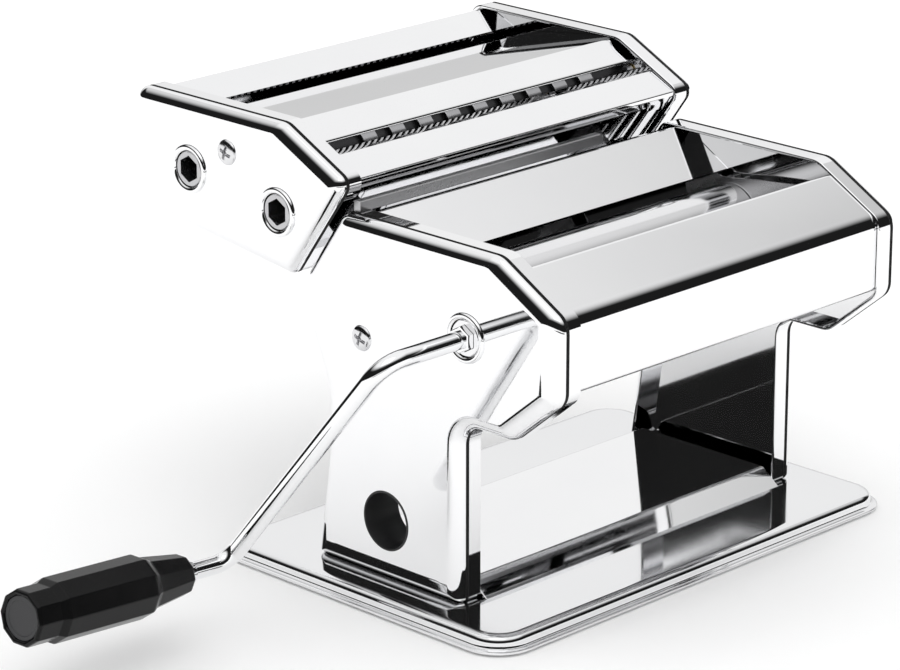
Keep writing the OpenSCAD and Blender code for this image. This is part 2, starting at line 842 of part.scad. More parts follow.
base_plate();
base_pad();
leg_tie_plate();
base_screws();
left_side_frame();
right_side_frame();
left_side_cover();
right_side_cover();
side_cover_screws();
left_clamp_sleeve();
front_cover();
rear_cover();
left_hopper_guard();
right_hopper_guard();
front_scraper();
rear_scraper();
roller_bushes();
crank_socket_ring();
head_tie_rods();
cutter_rails();
cutter_rest_bar();
detent_pin();
front_roller();
front_roller_gear();
eccentric_shaft();
roller_sleeves();
rear_roller();
rear_roller_gear();
adjuster_knob();
knob_cap();
crank_rod();
crank_collar();
grip();
grip_cap();
cutter_left_frame();
cutter_right_frame();
cutter_left_cover();
cutter_right_cover();
cutter_cover_screws();
cutter_socket_rings();
cutter_bushes();
cutter_tie_rod();
cutter_rear_panel();
cutter_middle_panel();
cutter_front_panel();
wide_combs();
narrow_combs();
wide_drive_roller();
wide_drive_gear();
wide_idle_roller();
wide_idle_gear();
narrow_drive_roller();
narrow_drive_gear();
narrow_idle_roller();
narrow_idle_gear();
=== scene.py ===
import math

import bmesh
import bpy
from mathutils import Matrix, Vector
from mathutils.geometry import delaunay_2d_cdt


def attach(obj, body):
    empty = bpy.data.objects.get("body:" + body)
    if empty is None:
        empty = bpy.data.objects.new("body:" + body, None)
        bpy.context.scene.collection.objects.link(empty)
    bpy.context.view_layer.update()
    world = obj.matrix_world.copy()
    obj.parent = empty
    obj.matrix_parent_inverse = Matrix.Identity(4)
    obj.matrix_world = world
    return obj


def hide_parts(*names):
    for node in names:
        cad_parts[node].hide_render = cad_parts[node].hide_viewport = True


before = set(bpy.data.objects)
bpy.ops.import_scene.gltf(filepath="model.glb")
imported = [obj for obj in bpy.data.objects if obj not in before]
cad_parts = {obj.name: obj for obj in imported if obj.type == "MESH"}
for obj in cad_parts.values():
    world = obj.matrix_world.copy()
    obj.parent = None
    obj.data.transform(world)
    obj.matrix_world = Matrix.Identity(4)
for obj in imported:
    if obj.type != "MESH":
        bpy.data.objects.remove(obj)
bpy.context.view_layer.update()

MM = 0.001

# ---- sizes in millimetres, the same as in part.scad ----------------------------------------------

RIM_GAP = 144.6
FLANGE_W = 6.3
COVER_D = 3.6
CUTTER_STEP = 2.9
SHEET = 1.2
BASE_H = 6.0
HEAD_TOP = 125.6
WEB_T = 1.5
GROOVE_D = 0.7

RIM_X = RIM_GAP / 2
SEAM_X = RIM_X + FLANGE_W
WEB_IN = SEAM_X - WEB_T / 2
WEB_OUT = SEAM_X + WEB_T / 2
FACE_X = WEB_OUT + COVER_D

# y, z, corner radius, bend weight of the next edge
MAIN_SIDE = [
    (-34, 6, 2, 0.6), (32.5, 6, 2, 1), (26.8, 45, 60, 1), (26.2, 64, 40, 1),
    (40.3, 96, 5, 1), (19.8, 125.6, 5, 0.8), (-49.5, 125.6, 9, 1.15),
    (-76.8, 110.2, 7, 1.7), (-76.8, 84.2, 7, 1.3), (-55.9, 66.8, 7, 1), (-34, 66.8, 7, 1),
]
CUTTER_SIDE = [
    (40.1, 100.5, 4, 1), (126.5, 111.2, 9, 1), (131.2, 122.5, 7, 1),
    (112.8, 150.8, 6, 0.8), (43.7, 150.8, 8, 1.15), (14.5, 136.2, 4, 1),
]

ROLLER_R = 12.5
GAP = 1.2
FRONT_AXIS = (-37.1, 97.0)
REAR_AXIS = (FRONT_AXIS[0] + 2 * ROLLER_R + GAP, 97.0)
ADJUST_AXIS = (REAR_AXIS[0], REAR_AXIS[1] - 1.1)
ROLLER_HALF = 73.6
NARROW_DRIVE = (87.5, 127.2)
WIDE_DRIVE = (45.1, 121.3)
PAIR_D = 15.4
WIDE_TILT = math.radians(140.0)
NARROW_IDLE = (NARROW_DRIVE[0] + PAIR_D, NARROW_DRIVE[1])
WIDE_IDLE = (
    WIDE_DRIVE[0] + PAIR_D * math.cos(WIDE_TILT), WIDE_DRIVE[1] + PAIR_D * math.sin(WIDE_TILT))
MAIN_SCREW = (9.3, 86.1)
CUTTER_SCREW = (68.8, 136.6)
CLAMP = (-1.4, 26.3)
CLAMP_R = 9.4
CLAMP_DEPTH = 15.0
LINER_T = 0.8

SHAFT_R = 6.0
BUSH_R = 8.4
CUTTER_BUSH_R = 7.6
SOCKET_HOLE_R = 7.4
SCREW_R = 2.1
KNOB_HOLE_R = 6.5
PIN_R = 1.5
PIN_D = 9.5
PANEL_T = 1.0
TIE_T = 1.2
CUT_HALF = 77.0
RAIL_X = 58.0


# ---- outlines ------------------------------------------------------------------------------------

def v2(p):
    return Vector((p[0], p[1]))


def corner_arc(a, b, c, r, n):
    """Points of an arc of radius r that rounds the corner b between a and c."""
    u, w = (a - b).normalized(), (c - b).normalized()
    half = math.acos(max(-0.99999, min(0.99999, u.dot(w)))) / 2
    t = r / math.tan(half)
    t_most = 0.49 * min((a - b).length, (c - b).length)
    if t > t_most:
        r, t = r * t_most / t, t_most
    mid = b + (u + w).normalized() * (r / math.sin(half))
    p1, p2 = b + u * t - mid, b + w * t - mid
    a1 = math.atan2(p1.y, p1.x)
    turn = (math.atan2(p2.y, p2.x) - a1 + math.pi) % (2 * math.pi) - math.pi
    return [
        mid + r * Vector((math.cos(a1 + turn * k / n), math.sin(a1 + turn * k / n)))
        for k in range(n + 1)
    ]


def rounded(p, n=10):
    out = []
    for i in range(len(p)):
        out += corner_arc(v2(p[i - 1]), v2(p[i]), v2(p[(i + 1) % len(p)]), p[i][2], n)
    return out


def inset(p, d, weighted=False):
    """A counter-clockwise outline moved inwards by d, times each edge's weight when weighted."""
    out = []
    for i in range(len(p)):
        a, b, c = v2(p[i - 1]), v2(p[i]), v2(p[(i + 1) % len(p)])
        e1, e2 = (b - a).normalized(), (c - b).normalized()
        n1, n2 = Vector((-e1.y, e1.x)), Vector((-e2.y, e2.x))
        d1 = d * (p[i - 1][3] if weighted else 1)
        d2 = d * (p[i][3] if weighted else 1)
        k = n1.dot(n2)
        if 1 - k * k < 0.2:
            v = (n1 + n2) * ((d1 + d2) / 2 / (1 + k))
        else:
            v = (n1 * (d1 - k * d2) + n2 * (d2 - k * d1)) / (1 - k * k)
        convex = n1.x * n2.y - n1.y * n2.x > 0
        r = max(0.4, p[i][2] + (-1 if convex else 1) * (d1 + d2) / 2)
        out.append((b.x + v.x, b.y + v.y, r, p[i][3]))
    return out


def line_with_bends(points, radii, n=6):
    """An open line of points with its inner corners rounded."""
    p = [v2(q) for q in points]
    out = [p[0]]
    for i in range(1, len(p) - 1):
        r = radii[i - 1] if isinstance(radii, (list, tuple)) else radii
        out += corner_arc(p[i - 1], p[i], p[i + 1], r, n)
    return out + [p[-1]]


# ---- mesh helpers --------------------------------------------------------------------------------

def new_mesh(name, verts, faces, mat, body, replaces=(), smooth=35.0):
    """Make one piece from vertices in millimetres; sharp edges stay above the smooth angle."""
    mesh = bpy.data.meshes.new(name)
    mesh.from_pydata([Vector(v) * MM for v in verts], [], faces)
    bm = bmesh.new()
    bm.from_mesh(mesh)
    bmesh.ops.remove_doubles(bm, verts=bm.verts, dist=1e-6)
    bmesh.ops.recalc_face_normals(bm, faces=bm.faces)
    limit = math.radians(smooth)
    for f in bm.faces:
        f.smooth = True
    for e in bm.edges:
        if len(e.link_faces) == 2:
            e.smooth = e.calc_face_angle(0.0) < limit
        else:
            e.smooth = False
    bm.to_mesh(mesh)
    bm.free()
    mesh.materials.append(mat)
    ob = bpy.data.objects.new(name, mesh)
    bpy.context.scene.collection.objects.link(ob)
    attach(ob, body)
    if replaces:
        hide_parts(*([replaces] if isinstance(replaces, str) else replaces))
    return ob


def weighted(ob):
    """Face-weighted normals, so that large flat faces reflect as flat mirrors."""
    m = ob.modifiers.new("normals", "WEIGHTED_NORMAL")
    m.keep_sharp = True
    m.weight = 100
    return ob


def circle(centre, r, n):
    """n points of a circle round centre."""
    return [
        (centre[0] + r * math.cos(2 * math.pi * k / n), centre[1] + r * math.sin(2 * math.pi * k / n))
        for k in range(n)]


HOLE_N = 48


class Build:
    """Collects vertices and faces of one piece."""

    def __init__(self):
        self.v, self.f = [], []

    def ring(self, pts, x=None):
        """Adds a ring of [y, z] points at x, or of ready 3-D points; returns its indices."""
        start = len(self.v)
        self.v += [(x, q[0], q[1]) for q in pts] if x is not None else [tuple(q) for q in pts]
        return list(range(start, len(self.v)))

    def skin(self, a, b, closed=True):
        n = len(a)
        for i in range(n if closed else n - 1):
            j = (i + 1) % n
            self.f.append((a[i], a[j], b[j], b[i]))

    def cap(self, a):
        self.f.append(tuple(a))

    def face_with_holes(self, outline, holes, x):
        """Flat face at x inside outline, less round holes given as (y, z, r); returns their rings."""
        loops = [[v2(q) for q in outline]]
        loops += [[Vector(q) for q in circle((y, z), r, HOLE_N)] for (y, z, r) in holes]
        pts, edges = [], []
        for lp in loops:
            s = len(pts)
            pts += lp
            edges += [(s + i, s + (i + 1) % len(lp)) for i in range(len(lp))]
        vs, _, fs = delaunay_2d_cdt(pts, edges, [], 1, 1e-7)[:3]
        base = len(self.v)
        self.v += [(x, q[0], q[1]) for q in vs]
        for f in fs:
            c = sum((vs[i] for i in f), Vector((0, 0))) / len(f)
            if any((c - Vector((h[0], h[1]))).length < h[2] * 0.98 for h in holes):
                continue
            self.f.append(tuple(base + i for i in f))
        return [self.ring(circle((y, z), r, HOLE_N), x) for (y, z, r) in holes]

    def circle_x(self, x, centre, r, n=64):
        return self.ring(circle(centre, r, n), x)

    def mirrored(self):
        """The same piece on the other side of x = 0."""
        m = Build()
        m.v = [(-x, y, z) for (x, y, z) in self.v]
        m.f = [tuple(reversed(f)) for f in self.f]
        return m


def lathe_x(profile, centre, n=64):
    """Turned piece about an axis along X, from (x, r) points; r = 0 closes it."""
    b = Build()
    rings = []
    for (x, r) in profile:
        rings.append([len(b.v)] * n if r < 1e-6 else None)
        if r < 1e-6:
            b.v.append((x, centre[0], centre[1]))
        else:
            rings[-1] = b.circle_x(x, centre, r, n)
    for a, c in zip(rings, rings[1:]):
        for i in range(n):
            j = (i + 1) % n
            q = []
            for k in (a[i], a[j], c[j], c[i]):
                if k not in q:
                    q.append(k)
            if len(q) > 2:
                b.f.append(tuple(q))
    return b


def sheet_between(x0, x1, line, t, edge=0.25):
    """Bent sheet of thickness t on the right of an open [y, z] line, from x0 to x1, with eased ends."""
    p = [v2(q) for q in line]
    normals = []
    for i in range(len(p)):
        a = (p[min(i + 1, len(p) - 1)] - p[max(i - 1, 0)])
        a.normalize()
        normals.append(Vector((a.y, -a.x)))
    b = Build()
    rings = []
    for x, e in ((x0, edge), (x0 + edge, 0), (x1 - edge, 0), (x1, edge)):
        outer = [q + n * e for q, n in zip(p, normals)]
        inner = [q + n * (t - e) for q, n in zip(p, normals)]
        loop = outer + list(reversed(inner))
        rings.append(b.ring(loop, x))
    for a, c in zip(rings, rings[1:]):
        b.skin(a, c)
    for r in (rings[0], rings[-1]):
        n = len(p)
        for i in range(n - 1):
            b.f.append((r[i], r[i + 1], r[2 * n - 2 - i], r[2 * n - 1 - i]))
    return b


def tube(points, r, n=24, cap=True, phase=0.0, direction=None):
    """Round tube of radius r, or one radius per point, along 3-D points in millimetres."""
    pts = [Vector(p) for p in points]
    b = Build()
    up = None
    rings = []
    for i, p in enumerate(pts):
        t = direction or (pts[min(i + 1, len(pts) - 1)] - pts[max(i - 1, 0)]).normalized()
        if up is None:
            up = Vector((0, 1, 0)) if abs(t.y) < 0.9 else Vector((0, 0, 1))
        side = t.cross(up).normalized()
        up = side.cross(t).normalized()
        rr = r[i] if isinstance(r, (list, tuple)) else r
        angles = [2 * math.pi * k / n + phase for k in range(n)]
        rings.append(b.ring([
            p + side * (rr * math.cos(a)) + up * (rr * math.sin(a)) for a in angles]))
    for a, c in zip(rings, rings[1:]):
        b.skin(a, c)
    if cap:
        b.cap(rings[0])
        b.cap(rings[-1])
    return b


def merge(*builds):
    m = Build()
    for b in builds:
        s = len(m.v)
        m.v += b.v
        m.f += [tuple(i + s for i in f) for f in b.f]
    return m


def piece(name, build, mat, body, replaces=(), smooth=35.0, flat=True, second=None,
          where=None):
    """One piece; second is a material for the faces whose centre, in millimetres, where() accepts."""
    ob = new_mesh(name, build.v, build.f, mat, body, replaces, smooth)
    if second:
        ob.data.materials.append(second)
        for f in ob.data.polygons:
            c = f.center / MM
            if where(c.x, c.y, c.z, f):
                f.material_index = 1
    return weighted(ob) if flat else ob


# ---- materials -----------------------------------------------------------------------------------

def nodes_of(name):
    m = bpy.data.materials.new(name)
    m.use_nodes = True
    nt = m.node_tree
    return m, nt, nt.nodes["Principled BSDF"]


def add(nt, kind, **values):
    n = nt.nodes.new(kind)
    for k, v in values.items():
        if hasattr(n, k):
            setattr(n, k, v)
        else:
            n.inputs[k.replace("_", " ")].default_value = v
    return n


SMUDGE_SCALE = 22.0
SCRATCH_SCALE = 420.0


def metal(name, tint, rough_low, rough_high, scratch=0.0, stretch=(1, 1, 1), bump=0.0):
    """Metal whose roughness varies softly with handling marks, and with fine lines along one way."""
    m, nt, p = nodes_of(name)
    L = nt.links.new
    co = add(nt, "ShaderNodeTexCoord")
    mp = add(nt, "ShaderNodeMapping")
    mp.inputs["Scale"].default_value = stretch
    L(co.outputs["Object"], mp.inputs["Vector"])
    blot = add(nt, "ShaderNodeTexNoise", Scale=SMUDGE_SCALE, Detail=3.0, Roughness=0.55)
    L(co.outputs["Object"], blot.inputs["Vector"])
    fine = add(nt, "ShaderNodeTexNoise", Scale=SCRATCH_SCALE, Detail=2.0, Roughness=0.6)
    L(mp.outputs["Vector"], fine.inputs["Vector"])
    mix = add(nt, "ShaderNodeMath", operation="MULTIPLY_ADD")
    L(fine.outputs["Fac"], mix.inputs[0])
    mix.inputs[1].default_value = scratch
    L(blot.outputs["Fac"], mix.inputs[2])
    rmap = add(nt, "ShaderNodeMapRange")
    rmap.inputs["From Min"].default_value = 0.35
    rmap.inputs["From Max"].default_value = 0.75 + scratch
    rmap.inputs["To Min"].default_value = rough_low
    rmap.inputs["To Max"].default_value = rough_high
    L(mix.outputs[0], rmap.inputs["Value"])
    L(rmap.outputs["Result"], p.inputs["Roughness"])
    ramp = add(nt, "ShaderNodeValToRGB")
    lo, hi = ramp.color_ramp.elements
    lo.position, hi.position = 0.3, 0.7
    lo.color = (tint[0] * 0.975, tint[1] * 0.975, tint[2] * 0.98, 1)
    hi.color = (*tint, 1)
    L(blot.outputs["Fac"], ramp.inputs["Fac"])
    L(ramp.outputs["Color"], p.inputs["Base Color"])
    p.inputs["Metallic"].default_value = 1.0
    if bump:
        bp = add(nt, "ShaderNodeBump", Strength=bump, Distance=0.00002)
        L(fine.outputs["Fac"], bp.inputs["Height"])
        L(bp.outputs["Normal"], p.inputs["Normal"])
    return m


def plastic(name, colour, rough_low, rough_high, grain=0.0, shine=0.5):
    """Plastic or rubber with softly varying gloss and, with grain, a fine bumpy surface."""
    m, nt, p = nodes_of(name)
    p.inputs["Specular IOR Level"].default_value = shine
    L = nt.links.new
    co = add(nt, "ShaderNodeTexCoord")
    blot = add(nt, "ShaderNodeTexNoise", Scale=45.0, Detail=4.0, Roughness=0.6)
    L(co.outputs["Object"], blot.inputs["Vector"])
    rmap = add(nt, "ShaderNodeMapRange")
    rmap.inputs["From Min"].default_value = 0.35
    rmap.inputs["From Max"].default_value = 0.7
    rmap.inputs["To Min"].default_value = rough_low
    rmap.inputs["To Max"].default_value = rough_high
    L(blot.outputs["Fac"], rmap.inputs["Value"])
    L(rmap.outputs["Result"], p.inputs["Roughness"])
    ramp = add(nt, "ShaderNodeValToRGB")
    lo, hi = ramp.color_ramp.elements
    lo.position, hi.position = 0.3, 0.7
    lo.color = tuple(c * 0.85 for c in colour) + (1,)
    hi.color = tuple(c * 1.15 for c in colour) + (1,)
    L(blot.outputs["Fac"], ramp.inputs["Fac"])
    L(ramp.outputs["Color"], p.inputs["Base Color"])
    if grain:
        g = add(nt, "ShaderNodeTexNoise", Scale=900.0, Detail=2.0)
        L(co.outputs["Object"], g.inputs["Vector"])
        bp = add(nt, "ShaderNodeBump", Strength=grain, Distance=0.00005)
        L(g.outputs["Fac"], bp.inputs["Height"])
        L(bp.outputs["Normal"], p.inputs["Normal"])
    return m


CHROME = metal("polished_chrome", (0.93, 0.932, 0.938), 0.025, 0.06)
CHROME_SOFT = metal("pressed_chrome", (0.86, 0.863, 0.87), 0.05, 0.10)
GROUND = metal("ground_roller", (0.86, 0.86, 0.87), 0.07, 0.13,
               scratch=0.3, stretch=(14, 0.6, 0.6), bump=0.05)
STEEL = metal("plain_steel", (0.62, 0.62, 0.63), 0.22, 0.36,
              scratch=0.35, stretch=(0.5, 6, 6), bump=0.12)
CUT_STEEL = metal("cutter_steel", (0.55, 0.55, 0.56), 0.22, 0.34,
                  scratch=0.3, stretch=(10, 0.8, 0.8), bump=0.1)
BRASS = metal("turned_brass", (0.75, 0.58, 0.28), 0.2, 0.35, scratch=0.3, bump=0.1)
SCREW = metal("screw_steel", (0.75, 0.75, 0.76), 0.10, 0.2)
BLACK = plastic("black_grip", (0.005, 0.005, 0.0052), 0.12, 0.22, grain=0.04, shine=0.16)
BLACK_MATT = plastic("black_disc", (0.03, 0.03, 0.032), 0.45, 0.6, grain=0.25)
LINING = plastic("dark_lining", (0.012, 0.012, 0.013), 0.4, 0.6, grain=0.2)
RUBBER = plastic("dark_rubber", (0.02, 0.02, 0.02), 0.6, 0.75, grain=0.3)
GREY = metal("satin_bar", (0.50, 0.50, 0.505), 0.25, 0.35, scratch=0.3, bump=0.1)
# near-black colour painted into the seam grooves as shade
SEAM_SHADE = plastic("seam_painted_shade", (0.01, 0.01, 0.01), 0.5, 0.7, grain=0.1)
# dark steel painted into the cutter grooves as shade between the discs
GROOVE_SHADE_STEEL = metal("cutter_groove_painted_shade", (0.06, 0.06, 0.062), 0.35, 0.5, scratch=0.3, bump=0.1)

# ---- pressed sides and covers --------------------------------------------------------------------

# Section of a cover's bend: share of its depth, and distance in from the outline
BEND = [(0.0, 0.0), (0.10, 0.06), (0.22, 0.22), (0.34, 0.47), (0.46, 0.80), (0.57, 1.2),
        (0.67, 1.65), (0.76, 2.15), (0.84, 2.7), (0.905, 3.3), (0.955, 3.9), (0.985, 4.45), (1.0, 5.0)]
CORNER_N = 12


def pressed_cover(side, back_x, holes):
    """Left outer cover: its edge bends round from the groove to the flat face."""
    b = Build()
    first = b.ring(rounded(inset(side, SHEET), CORNER_N), -back_x)
    prev = b.ring(rounded(side, CORNER_N), -back_x)
    b.skin(first, prev)
    for (t, d) in BEND[1:]:
        ring = b.ring(rounded(inset(side, d, True), CORNER_N), -back_x - COVER_D * t)
        b.skin(prev, ring)
        prev = ring
    outline = rounded(inset(side, BEND[-1][1], True), CORNER_N)
    x = -back_x - COVER_D
    rims = b.face_with_holes(outline, holes, x)
    for r, (y, z, rad) in zip(rims, holes):
        deep = b.circle_x(x + SHEET, (y, z), rad, HOLE_N)
        b.skin(r, deep)
    # inner skin, so that the cover is a real pan
    i1 = b.ring(rounded(inset(side, 1.4 + SHEET, True), CORNER_N), -back_x - COVER_D * 0.5)
    b.skin(first, i1)
    i2 = b.ring(rounded(inset(side, 3.4 + SHEET, True), CORNER_N), x + SHEET)
    b.skin(i1, i2)
    b.face_with_holes(rounded(inset(side, 3.4 + SHEET, True), CORNER_N), holes, x + SHEET)
    return b


def pressed_frame(side, edge_x, seam, holes):
    """Left side frame: a web with a flange turned in, a groove line and a curled inner edge."""
    b = Build()
    rings = []
    inner_steps = [(edge_x, 0.45), (edge_x + 0.10, 0.18), (edge_x + 0.35, 0.0)]
    for (x, d) in inner_steps:
        rings.append(b.ring(rounded(inset(side, d) if d else side, CORNER_N), -x))
    rings.append(b.ring(rounded(side, CORNER_N), -(seam - 0.75)))
    rings.append(b.ring(rounded(inset(side, GROOVE_D), CORNER_N), -(seam - 0.35)))
    rings.append(b.ring(rounded(inset(side, GROOVE_D), CORNER_N), -(seam + WEB_T / 2)))
    for a, c in zip(rings, rings[1:]):
        b.skin(a, c)
    lip = b.ring(rounded(inset(side, SHEET - 0.25), CORNER_N), -edge_x)
    lip2 = b.ring(rounded(inset(side, SHEET), CORNER_N), -(edge_x + 0.3))
    wall = b.ring(rounded(inset(side, SHEET), CORNER_N), -(seam - WEB_T / 2))
    b.skin(rings[0], lip)
    b.skin(lip, lip2)
    b.skin(lip2, wall)
    inner = rounded(inset(side, SHEET), CORNER_N)
    ra = b.face_with_holes(inner, holes, -(seam - WEB_T / 2))
    rb = b.face_with_holes(rounded(inset(side, GROOVE_D), CORNER_N), holes, -(seam + WEB_T / 2))
    for p, q in zip(ra, rb):
        b.skin(p, q)
    return b


def hole(p, r):
    return (p[0], p[1], r)


def both(name, left, right, body, nodes, seam):
    """A left side frame and a right one, built on the left, their grooves painted black as shade."""
    def in_groove(x, y, z, face):
        return abs(x) > seam - 0.72 and abs(face.normal.x) < 0.9

    for side, build, node in (("left_", left, nodes[0]), ("right_", right.mirrored(), nodes[1])):
        # the groove faces take the near-black material, which is painted shade in the seam
        piece(side + name, build, CHROME, body, node, second=SEAM_SHADE, where=in_groove)


frame_holes = [hole(FRONT_AXIS, BUSH_R), hole(ADJUST_AXIS, BUSH_R), hole(MAIN_SCREW, SCREW_R)]
clamp_hole = hole(CLAMP, CLAMP_R + LINER_T)
both("pressed_side", pressed_frame(MAIN_SIDE, RIM_X, SEAM_X, frame_holes + [clamp_hole]),
     pressed_frame(MAIN_SIDE, RIM_X, SEAM_X, frame_holes), "frame",
     ("left_side_frame", "right_side_frame"), SEAM_X)
piece("left_pressed_cover", pressed_cover(MAIN_SIDE, WEB_OUT, [
    hole(FRONT_AXIS, SOCKET_HOLE_R), clamp_hole, hole(MAIN_SCREW, SCREW_R)]),
      CHROME, "frame", "left_side_cover")
piece("right_pressed_cover", pressed_cover(MAIN_SIDE, WEB_OUT, [
    hole(ADJUST_AXIS, KNOB_HOLE_R), hole(MAIN_SCREW, SCREW_R),
    hole((ADJUST_AXIS[0], ADJUST_AXIS[1] + PIN_D), PIN_R)]).mirrored(),
      CHROME, "frame", "right_side_cover")

C_RIM_X, C_SEAM_X, C_WEB_OUT = (x + CUTTER_STEP for x in (RIM_X, SEAM_X, WEB_OUT))
CUTTER_AXES = [WIDE_DRIVE, WIDE_IDLE, NARROW_DRIVE, NARROW_IDLE]
cutter_frame = pressed_frame(
    CUTTER_SIDE, C_RIM_X, C_SEAM_X,
    [hole(q, CUTTER_BUSH_R) for q in CUTTER_AXES] + [hole(CUTTER_SCREW, SCREW_R)])
both("cutter_side", cutter_frame, cutter_frame, "cutter",
     ("cutter_left_frame", "cutter_right_frame"), C_SEAM_X)
piece("left_cutter_cover", pressed_cover(CUTTER_SIDE, C_WEB_OUT, [
    hole(NARROW_DRIVE, SOCKET_HOLE_R), hole(WIDE_DRIVE, SOCKET_HOLE_R), hole(CUTTER_SCREW, SCREW_R)]),
      CHROME, "cutter", "cutter_left_cover")
piece("right_cutter_cover", pressed_cover(
    CUTTER_SIDE, C_WEB_OUT, [hole(CUTTER_SCREW, SCREW_R)]).mirrored(),
      CHROME, "cutter", "cutter_right_cover")

# ---- base ----------------------------------------------------------------------------------------

BASE_L, BASE_W, BASE_R = 196.0, 134.0, 14.0


def rounded_rect(d, n=14):
    hl, hw, r = BASE_L / 2 - d, BASE_W / 2 - d, max(1.0, BASE_R - d)
    return rounded([(-hl, -hw, r), (hl, -hw, r), (hl, hw, r), (-hl, hw, r)], n)


# inset from the outline and height, from the lip up over the rolled edge to the flat top
EDGE = [(1.0, 0.6), (0.3, 0.7), (0.05, 0.95), (0.05, 1.35), (0.35, 1.62), (1.0, 1.74), (1.7, 1.84),
        (2.15, 2.15), (2.35, 2.7), (2.42, 3.4), (2.5, 4.1), (2.75, 4.75), (3.2, 5.25), (3.8, 5.6),
        (4.5, 5.82), (5.3, 5.95), (6.2, 6.0)]
ROLL_W = 4.9
b = Build()
under = b.ring([(q.x, q.y, 0.6) for q in rounded_rect(ROLL_W)])
inner_top = b.ring([(q.x, q.y, BASE_H - SHEET) for q in rounded_rect(ROLL_W)])
b.skin(under, inner_top)
b.cap(inner_top)
prev = under
for (d, z) in EDGE:
    ring = b.ring([(q.x, q.y, z) for q in rounded_rect(d)])
    b.skin(prev, ring)
    prev = ring
b.cap(prev)
piece("base_pressing", b, CHROME_SOFT, "frame", "base_plate")

TIE = [(-36.6, 6.0), (-29.6, 11.5), (27.1, 11.5), (30.6, 6.0)]
tie_line = line_with_bends(TIE, [2.2, 2.2], 8)
piece("tie_plate", sheet_between(-RIM_X, RIM_X, tie_line, TIE_T),
      CHROME, "frame", "leg_tie_plate")

# ---- sheets between the sides --------------------------------------------------------------------

front_line = line_with_bends(
    [(-68, 85.6), (-75.4, 85.6), (-75.4, 110.2), (-54, 122.1), (-51, 116.5)], [1.4, 7.0, 1.6], 12)
piece("front_sheet", sheet_between(-WEB_IN, WEB_IN, list(reversed(front_line)), -PANEL_T),
      CHROME, "frame", "front_cover")
back_foot = v2((40.3, 96))
slope = (v2((19.8, HEAD_TOP)) - back_foot).normalized()
slope_out = Vector((slope.y, -slope.x))
slope_low = back_foot - 1.4 * slope_out
slope_high = slope_low + 33.6 * slope
rear_line = line_with_bends(
    [(-5.5, 112.7), (14.6, 124.6), slope_high, slope_low, (26.6, 68), (20, 68)],
    [1.2, 1.2, 2.5, 1.2], 8)
piece("rear_sheet", sheet_between(-WEB_IN, WEB_IN, rear_line, PANEL_T),
      CHROME, "frame", "rear_cover")

C_WEB_IN = WEB_IN + CUTTER_STEP
rear_panel = line_with_bends(
    [(99.3, 144), (111.6, 149.4), (129.6, 122.6), (125.6, 112.8), (114, 111.2)], [2.0, 4.0, 3.0], 8)
piece("cutter_rear_sheet", sheet_between(-C_WEB_IN, C_WEB_IN, rear_panel, PANEL_T),
      CHROME, "cutter", "cutter_rear_panel")
middle_panel = line_with_bends(
    [(38, 139.6), (36.8, 143.7), (47.6, 149.3), (89, 144), (90, 140)], [1.0, 3.0, 1.2], 8)
piece("cutter_middle_sheet", sheet_between(-C_WEB_IN, C_WEB_IN, middle_panel, PANEL_T),
      CHROME, "cutter", "cutter_middle_panel")

# The front panel has a slot for each rail, wider where the lip passes the rail's head
front_panel = line_with_bends(
    [(52, 103.8), (40.6, 102.2), (17.3, 134.8), (17.3, 136.2), (28.8, 141.7), (29.6, 139.9)],
    [2.0, 0.6, 0.6, 0.8], 8)
SLOT_TOP = 121.0
SLOT_HALF = 2.0
NOTCH_HALF = 4.6
LIP_Y = 41.0
split = next(i for i, q in enumerate(front_panel) if q.y > SLOT_TOP)
along = (SLOT_TOP - front_panel[split - 1].y) / (front_panel[split].y - front_panel[split - 1].y)
joint = front_panel[split - 1].lerp(front_panel[split], along)
lip_end = next(i for i, q in enumerate(front_panel) if q.x < LIP_Y)
slot_in, slot_out = RAIL_X - SLOT_HALF, RAIL_X + SLOT_HALF
notch_in, notch_out = RAIL_X - NOTCH_HALF, RAIL_X + NOTCH_HALF
front_parts = [
    sheet_between(x0, x1, front_panel[:split] + [joint], PANEL_T)
    for (x0, x1) in ((-C_WEB_IN, -notch_out), (-notch_in, notch_in), (notch_out, C_WEB_IN))]
front_parts += [
    sheet_between(x0, x1, front_panel[lip_end:split] + [joint], PANEL_T)
    for (x0, x1) in ((-notch_out, -slot_out), (-slot_in, -notch_in), (notch_in, slot_in),
                     (slot_out, notch_out))]
front_parts.append(sheet_between(-C_WEB_IN, C_WEB_IN, [joint] + front_panel[split:], PANEL_T))
piece("cutter_front_sheet", merge(*front_parts), CHROME, "cutter", "cutter_front_panel")

# ---- rollers -------------------------------------------------------------------------------------

HEX_HALF = 4.0
SOCKET_DEPTH = 17.0
SOCKET_PROUD = 0.2
STUB_L = 1.5
SHAFT_N = 48


def eased(x0, x1, r, e=0.5):
    """Profile of a cylinder with small chamfers at its ends."""
    return [(x0, r - e), (x0 + e * 0.3, r - e * 0.3), (x0 + e, r),
            (x1 - e, r), (x1 - e * 0.3, r - e * 0.3), (x1, r - e)]


def hex_socket(x_mouth, centre):
    """Hexagonal socket in a shaft's end: a rim, the six walls and the bottom."""
    b = Build()
    outer = b.circle_x(x_mouth, centre, SHAFT_R - 0.3, SHAFT_N)
    hexring = []
    for k in range(SHAFT_N):
        a = 2 * math.pi * k / SHAFT_N
        reach = HEX_HALF / math.cos((a + math.pi / 6) % (math.pi / 3) - math.pi / 6)
        hexring.append((centre[0] + reach * math.cos(a), centre[1] + reach * math.sin(a)))
    mouth = b.ring(hexring, x_mouth)
    deep = b.ring(hexring, x_mouth + SOCKET_DEPTH)
    b.skin(outer, mouth)
    b.skin(mouth, deep)
    b.cap(deep)
    return b


